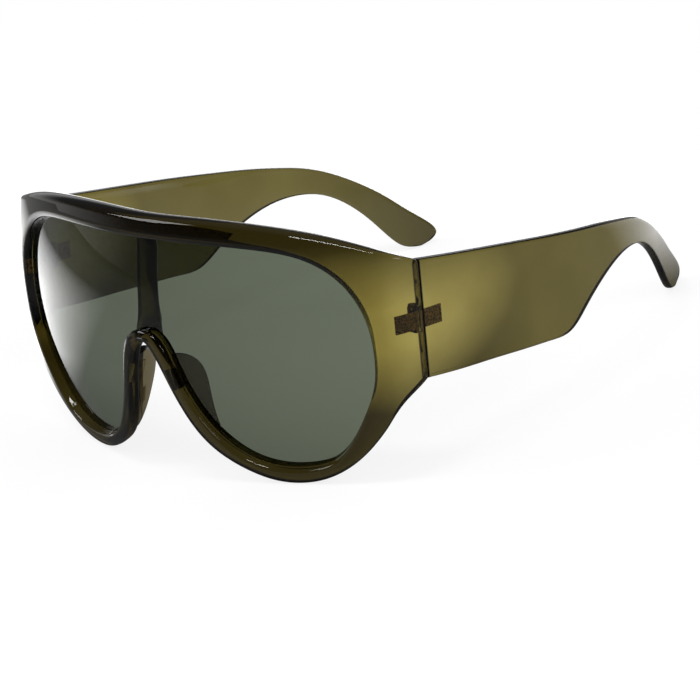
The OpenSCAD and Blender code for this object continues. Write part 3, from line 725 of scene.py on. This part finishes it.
def add_node(tree, kind, inputs=(), **settings):
    """Adds a node. Its inputs are named in a dict or given in order, and each is a plain value, a
    socket to link, or a node whose first output in use is linked. A Map Range node takes a value,
    the start and end of a ramp, and what it gives there, which it holds past both."""
    made = tree.nodes.new(kind)
    for name, value in settings.items():
        setattr(made, name, value)
    for name, value in inputs.items() if isinstance(inputs, dict) else enumerate(inputs):
        if isinstance(value, bpy.types.Node):
            value = next(socket for socket in value.outputs if socket.enabled)
        if isinstance(value, bpy.types.NodeSocket):
            tree.links.new(value, made.inputs[name])
        else:
            made.inputs[name].default_value = value
    return made


def new_material(name):
    """An empty node material and its node tree."""
    material = bpy.data.materials.new(name)
    material.use_nodes = True
    material.node_tree.nodes.clear()
    return material, material.node_tree


def clear_plastic(tree, tint, depth, per_metre, roughness, wave):
    """Clear plastic, moulded or cast. Light is tinted at the surface and absorbed on its way
    through. A moulded surface has a faint long wave, and a cast one, with a wave of zero, is
    even."""
    surface = {
        "Base Color": tint, "Roughness": roughness, "IOR": PLASTIC_IOR, "Transmission Weight": 1.0,
    }
    if wave:
        place = add_node(tree, "ShaderNodeTexCoord").outputs["Object"]
        swell = add_node(
            tree, "ShaderNodeTexNoise", {"Vector": place, "Scale": 1 / WAVE_SPACING, "Detail": 0.0}
        )
        surface["Normal"] = add_node(
            tree, "ShaderNodeBump", {"Height": swell, "Strength": 1.0, "Distance": wave}
        )
    shader = add_node(tree, "ShaderNodeBsdfPrincipled", surface)
    inside = add_node(
        tree, "ShaderNodeVolumeAbsorption", {"Color": (*depth, 1), "Density": per_metre}
    )
    add_node(tree, "ShaderNodeOutputMaterial", {"Surface": shader, "Volume": inside})


def metal(name, tone, roughness, grain_size):
    """Stamped and plated metal: a dull tone that varies in grains, with a fine grained bump."""
    material, tree = new_material(name)
    place = add_node(tree, "ShaderNodeTexCoord").outputs["Object"]
    grain = add_node(
        tree, "ShaderNodeTexNoise", {"Vector": place, "Scale": 1 / grain_size, "Detail": 4.0}
    )
    clean = add_node(tree, "ShaderNodeMapRange", (grain, *GRAIN_RAMP))
    rough = add_node(tree, "ShaderNodeMapRange", (grain, 0, 1, roughness, roughness + 0.2))
    tarnished = [TARNISHED_SHARE * c for c in tone]
    toned = add_node(
        tree, "ShaderNodeMix", {"Factor": clean, "A": (*tarnished, 1), "B": (*tone, 1)},
        data_type="RGBA",
    )
    bump = add_node(
        tree, "ShaderNodeBump", {"Height": grain, "Strength": 0.5, "Distance": GRAIN_DEPTH}
    )
    shader = add_node(
        tree, "ShaderNodeBsdfPrincipled",
        {"Base Color": toned, "Roughness": rough, "Normal": bump, "Metallic": 1.0},
    )
    add_node(tree, "ShaderNodeOutputMaterial", {"Surface": shader})
    return material


def olive_plastic():
    """Clear olive polycarbonate, injection-moulded and tumbled. A painted glow makes it lightest
    and most yellow round the hinges. From there painted shade darkens it as an ellipse that reaches
    far along the temples, a short way along the front, and up and down. The hooked ends take
    painted shade, and the painted shade in the seams makes the ends there darkest. Soft clouds vary
    the tint."""
    known = bpy.data.materials.get("olive_polycarbonate_moulded")
    if known:
        return known
    scene = bpy.context.scene
    colours, glow = scene.sunglasses_colours, scene.sunglasses_glow
    material, tree = new_material("olive_polycarbonate_moulded")
    spot = add_node(tree, "ShaderNodeTexCoord").outputs["Object"]
    place = add_node(tree, "ShaderNodeSeparateXYZ", (spot,))
    back = add_node(tree, "ShaderNodeMath", (place.outputs["Y"], glow.forward), operation="ADD")
    up = add_node(tree, "ShaderNodeMath", (place.outputs["Z"], glow.level), operation="SUBTRACT")
    vertical, to_rear, to_front = (
        add_node(tree, "ShaderNodeMath", (way, reach), operation="DIVIDE")
        for way, reach in ((up, glow.height), (back, glow.rear), (back, -glow.front))
    )
    along = add_node(tree, "ShaderNodeMath", (to_rear, to_front), operation="MAXIMUM")
    reached = add_node(tree, "ShaderNodeCombineXYZ", (vertical, along))
    from_hinge = add_node(tree, "ShaderNodeVectorMath", (reached,), operation="LENGTH")
    # Painted glow round the hinges and along the temples; where its share is low, painted shade
    hinge_share = add_node(tree, "ShaderNodeMapRange", (from_hinge, *GLOW_RAMP))
    behind_hinge = add_node(tree, "ShaderNodeMapRange", (back, *TEMPLE_RAMP))
    before_hook = add_node(tree, "ShaderNodeMapRange", (back, *HOOK_RAMP))
    temple_share = add_node(
        tree, "ShaderNodeMath", (behind_hinge, before_hook), operation="MULTIPLY"
    )
    share = add_node(tree, "ShaderNodeMath", (hinge_share, temple_share), operation="MAXIMUM")

    rearward = REST.to_3x3() @ Vector((0, 1, 0))
    seam = rearward @ REST.translation + scene.sunglasses_temples.seam_gap / 2
    level = add_node(tree, "ShaderNodeVectorMath", (spot, rearward), operation="DOT_PRODUCT")
    past_seam = add_node(tree, "ShaderNodeMath", (level, seam), operation="SUBTRACT")
    from_seam = add_node(tree, "ShaderNodeMath", (past_seam,), operation="ABSOLUTE")
    # Painted shade in the seams between front and temples
    shaded = add_node(tree, "ShaderNodeMapRange", (from_seam, *SEAM_SHADE_RAMP))

    clouds = add_node(
        tree, "ShaderNodeTexNoise", {"Vector": spot, "Scale": 1 / CLOUD_SIZE, "Detail": 3.0}
    )
    clouded = add_node(tree, "ShaderNodeMapRange", (clouds, *CLOUD_RAMP))
    light = add_node(
        tree, "ShaderNodeMix",
        {"Factor": clouded, "A": (*colours.olive, 1), "B": (*colours.olive_cloud, 1)},
        data_type="RGBA",
    )
    glow_and_shade_tint = add_node(
        tree, "ShaderNodeMix", {"Factor": share, "A": (*colours.olive_painted_shade, 1), "B": light},
        data_type="RGBA",
    )
    tint = add_node(
        tree, "ShaderNodeMix", {"Factor": shaded, "A": glow_and_shade_tint, "B": (*colours.seam_painted_shade, 1)},
        data_type="RGBA",
    )
    clear_plastic(tree, tint, colours.olive_depth, colours.olive_density, 0.0, glow.wave)
    return material


class SUNGLASSES_OT_front(bpy.types.Operator):
    """Builds the moulded front with its lip, groove, post, notches and peg sockets"""

    bl_idname = "sunglasses.front"
    bl_label = "Front"

    def execute(self, context):
        scene = context.scene
        face, pads = Face(scene), scene.sunglasses_pads
        grid = rim_grid(face)
        rim = mesh_object("front_shell", grid, ring_quads(*grid.shape[:2]).tolist())
        grid = post_grid(face)
        post = mesh_object("post", grid, tube_quads(*grid.shape[:2]))
        combine(rim, "UNION", [post])
        cuts = [box_object("notch", *c) for c in notch_boxes(scene.sunglasses_hinges, False)]
        socket = pad_peg(face, pads, pads.peg_gap, SOCKET_OVERCUT)
        cuts += [socket, mirrored(socket, "socket_right")]
        combine(rim, "DIFFERENCE", cuts)
        cut_at_seam(rim, scene.sunglasses_front.seam_round)
        finish_piece(rim, olive_plastic(), "front", "frame_plastic", "front_frame")
        return {"FINISHED"}


class SUNGLASSES_OT_lens(bpy.types.Operator):
    """Builds the single lens"""

    bl_idname = "sunglasses.lens"
    bl_label = "Lens"

    def execute(self, context):
        face, colours = Face(context.scene), context.scene.sunglasses_colours
        near = face.front.lip_drop + face.lens.recess + face.lens.gap
        sheets = [lens_grid(face, near), lens_grid(face, near + face.lens.thickness)]
        columns, rows = sheets[0].shape[:2]
        count = columns * rows
        quads = sheet_quads(columns, rows)
        walls = []
        for row in (0, rows - 1):
            start = np.arange(columns - 1) * rows + row
            end = start + rows
            walls.append(np.stack([start, end, end + count, start + count], 1))
        faces = np.concatenate([quads, quads[:, ::-1] + count, *walls]).tolist()
        made = mesh_object("lens_sheet", np.concatenate(sheets), faces)
        tinted, tree = new_material("grey_green_lens_cast")
        clear_plastic(
            tree, (*colours.lens, 1), colours.lens_depth, colours.lens_density, 0.0, 0
        )
        finish_piece(made, tinted, "front", "lens", "shield_lens")
        return {"FINISHED"}


class SUNGLASSES_OT_pads(bpy.types.Operator):
    """Builds the two nose pads with their pegs"""

    bl_idname = "sunglasses.pads"
    bl_label = "Nose pads"

    def execute(self, context):
        scene, colours = context.scene, context.scene.sunglasses_colours
        face, pads = Face(scene), scene.sunglasses_pads
        grid = pad_grid(face, pads)
        left = mesh_object("nose_pad_left_flange", grid, tube_quads(*grid.shape[:2]))
        combine(left, "UNION", [pad_peg(face, pads, 0, pads.peg_root)])
        right = mirrored(left, "nose_pad_right_flange")
        skin, tree = new_material("olive_brown_polycarbonate_moulded")
        clear_plastic(
            tree, (*colours.pad, 1), colours.olive_depth, colours.pad_density, 0.06,
            scene.sunglasses_glow.wave,
        )
        finish_piece(left, skin, "front", "pad_plastic", "nose_pad_left")
        finish_piece(right, skin, "front", "pad_plastic", "nose_pad_right")
        return {"FINISHED"}


class SUNGLASSES_OT_temples(bpy.types.Operator):
    """Builds the two temples with the notches for their hinges"""

    bl_idname = "sunglasses.temples"
    bl_label = "Temples"

    def execute(self, context):
        scene = context.scene
        grid = temple_grid(scene.sunglasses_temples)
        left = mesh_object("temple_left_arm", grid, tube_quads(*grid.shape[:2]))
        notch = notch_boxes(scene.sunglasses_hinges, True)[0]
        combine(left, "DIFFERENCE", [box_object("notch", *notch)])
        right = mirrored(left, "temple_right_arm")
        finish_piece(left, olive_plastic(), "left_temple", "temple_plastic", "temple_left")
        finish_piece(right, olive_plastic(), "right_temple", "temple_plastic", "temple_right")
        return {"FINISHED"}


class SUNGLASSES_OT_hinges(bpy.types.Operator):
    """Finishes the hinge leaves and screws of the frame in metal"""

    bl_idname = "sunglasses.hinges"
    bl_label = "Hinges"

    def execute(self, context):
        colours = context.scene.sunglasses_colours
        leaf = metal("bronzed_nickel_silver_stamped", colours.bronze, 0.35, 0.5 * MM)
        screw = metal("steel_screw_turned", colours.steel, 0.3, 0.3 * MM)
        for name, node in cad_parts.items():
            if "hinge" in name:
                node.data.materials.clear()
                node.data.materials.append(screw if "screw" in name else leaf)
        return {"FINISHED"}


def by_ray(tree, camera, passing, mirrored_ray, lighting):
    """A value that differs for rays that are seen, refracted or mirrored, and for those that light
    a surface."""
    path = add_node(tree, "ShaderNodeLightPath")
    value = lighting
    for kind, level in (
        ("Is Glossy Ray", mirrored_ray), ("Is Transmission Ray", passing), ("Is Camera Ray", camera)
    ):
        value = add_node(
            tree, "ShaderNodeMix", {"Factor": path.outputs[kind], "A": value, "B": level}
        )
    return value


def studio_side(tree, place, dim, bright):
    """Brightness by the way a place or direction lies: dim around the photographer, and bright
    behind the glasses and to the wearer's right."""
    flat = add_node(tree, "ShaderNodeVectorMath", (place, (1, 1, 0)), operation="MULTIPLY")
    way = add_node(tree, "ShaderNodeVectorMath", (flat,), operation="NORMALIZE")
    toward = add_node(tree, "ShaderNodeVectorMath", (way, BRIGHT_SIDE), operation="DOT_PRODUCT")
    return add_node(tree, "ShaderNodeMapRange", (toward, *SIDE_SHARES, dim, bright))


def area_lamp(name, place, size, watts):
    """A rectangular soft box at a place, turned to the glasses."""
    lamp = bpy.data.lights.new(name, "AREA")
    lamp.shape = "RECTANGLE"
    lamp.size, lamp.size_y = size
    lamp.energy = watts
    made = bpy.data.objects.new(name, lamp)
    made.location = place
    way = Vector(LAMP_TARGET) - Vector(place)
    made.rotation_euler = way.to_track_quat("-Z", "Y").to_euler()
    bpy.context.scene.collection.objects.link(made)


class SUNGLASSES_OT_stage(bpy.types.Operator):
    """Builds the pale floor, the white surroundings, the soft boxes and the camera"""

    bl_idname = "sunglasses.stage"
    bl_label = "Stage"

    def execute(self, context):
        self.floor()
        self.surroundings(context.scene)
        for lamp in LAMPS:
            area_lamp(*lamp)
        self.camera(context.scene)
        context.scene.view_settings.view_transform = "Standard"
        return {"FINISHED"}

    def floor(self):
        """Pale paper that catches the shadow. To mirrored rays it shows a painted shadow under the
        glasses, is dark far off, and is bright close behind them on the wearer's right."""
        corners = [(x * FLOOR_HALF, y * FLOOR_HALF, -FLOOR_DROP)
                   for x, y in ((-1, -1), (1, -1), (1, 1), (-1, 1))]
        floor = mesh_object("floor", corners, [(0, 1, 2, 3)])
        material, tree = new_material("pale_paper_sweep")
        paper = add_node(tree, "ShaderNodeBsdfDiffuse", {"Color": (*[PAPER_SHARE] * 3, 1)})
        spot = add_node(tree, "ShaderNodeTexCoord").outputs["Object"]
        away = add_node(tree, "ShaderNodeVectorMath", (spot,), operation="LENGTH")
        # Painted shadow of the glasses on the floor, as mirrored rays see it
        glasses_painted_shadow = add_node(tree, "ShaderNodeMapRange", (away, *UNDER_RAMP))
        past_glasses = add_node(tree, "ShaderNodeMapRange", (away, *PAST_RAMP))
        table = add_node(
            tree, "ShaderNodeMath", (glasses_painted_shadow, past_glasses), operation="MULTIPLY"
        )
        side = studio_side(tree, spot, *FLOOR_SHINE)
        shine = add_node(tree, "ShaderNodeMath", (side, table), operation="MULTIPLY")
        seen = FLOOR_LEVEL - PAPER_SHARE
        level = by_ray(tree, seen, seen, shine, 0.0)
        lit = add_node(tree, "ShaderNodeEmission", {"Color": (1, 1, 1, 1), "Strength": level})
        both = add_node(tree, "ShaderNodeAddShader", (paper, lit))
        add_node(tree, "ShaderNodeOutputMaterial", {"Surface": both})
        floor.data.materials.append(material)

    def surroundings(self, scene):
        """A white studio, darker upwards and behind the photographer to refracted and mirrored
        rays."""
        world = bpy.data.worlds.new("white_studio")
        scene.world = world
        world.use_nodes = True
        tree = world.node_tree
        tree.nodes.clear()
        direction = add_node(tree, "ShaderNodeTexCoord").outputs["Generated"]
        height = add_node(tree, "ShaderNodeSeparateXYZ", (direction,)).outputs["Z"]
        passing, shine = (
            add_node(
                tree, "ShaderNodeMath",
                (studio_side(tree, direction, *levels),
                 add_node(tree, "ShaderNodeMapRange", (height, *heights, 1.0, share_above))),
                operation="MULTIPLY",
            )
            for levels, heights, share_above in (STUDIO_PASSING, STUDIO_SHINE)
        )
        strength = by_ray(tree, 1.0, passing, shine, STUDIO_LIGHTING)
        sky = add_node(
            tree, "ShaderNodeBackground", {"Color": (1, 1, 1, 1), "Strength": strength}
        )
        add_node(tree, "ShaderNodeOutputWorld", {"Surface": sky})

    def camera(self, scene):
        """The photo's camera."""
        camera = bpy.data.objects.new("camera", bpy.data.cameras.new("camera"))
        scene.collection.objects.link(camera)
        camera.data.sensor_width = SENSOR_WIDTH
        camera.data.lens = SENSOR_WIDTH * FOCAL_PIXELS / PICTURE_PIXELS
        axes = Matrix((CAMERA_RIGHT, CAMERA_BACK.cross(CAMERA_RIGHT), CAMERA_BACK))
        camera.matrix_world = axes.transposed().to_4x4()
        camera.location = CAMERA_PLACE
        camera.data.clip_end = 20
        scene.camera = camera


class SUNGLASSES_PT_panel(bpy.types.Panel):
    """Lists the pieces"""

    bl_idname = "SUNGLASSES_PT_panel"
    bl_label = "Shield sunglasses"
    bl_space_type = "VIEW_3D"
    bl_region_type = "UI"
    bl_category = "Sunglasses"

    def draw(self, context):
        for operator in OPERATORS:
            self.layout.operator(operator.bl_idname)


GROUPS = {
    "sunglasses_front": SUNGLASSES_PG_front,
    "sunglasses_lens": SUNGLASSES_PG_lens,
    "sunglasses_pads": SUNGLASSES_PG_pads,
    "sunglasses_temples": SUNGLASSES_PG_temples,
    "sunglasses_hinges": SUNGLASSES_PG_hinges,
    "sunglasses_glow": SUNGLASSES_PG_glow,
    "sunglasses_colours": SUNGLASSES_PG_colours,
}
OPERATORS = (
    SUNGLASSES_OT_stage, SUNGLASSES_OT_front, SUNGLASSES_OT_lens, SUNGLASSES_OT_pads,
    SUNGLASSES_OT_temples, SUNGLASSES_OT_hinges,
)


def register():
    for made in (*GROUPS.values(), *OPERATORS, SUNGLASSES_PT_panel):
        bpy.utils.register_class(made)
    for name, group in GROUPS.items():
        setattr(bpy.types.Scene, name, PointerProperty(type=group))


def unregister():
    for name in GROUPS:
        delattr(bpy.types.Scene, name)
    for made in reversed((*GROUPS.values(), *OPERATORS, SUNGLASSES_PT_panel)):
        bpy.utils.unregister_class(made)


def main():
    """Builds every piece and the stage."""
    register()
    for operator in OPERATORS:
        group, name = operator.bl_idname.split(".")
        getattr(getattr(bpy.ops, group), name)()


if __name__ == "__main__":
    main()
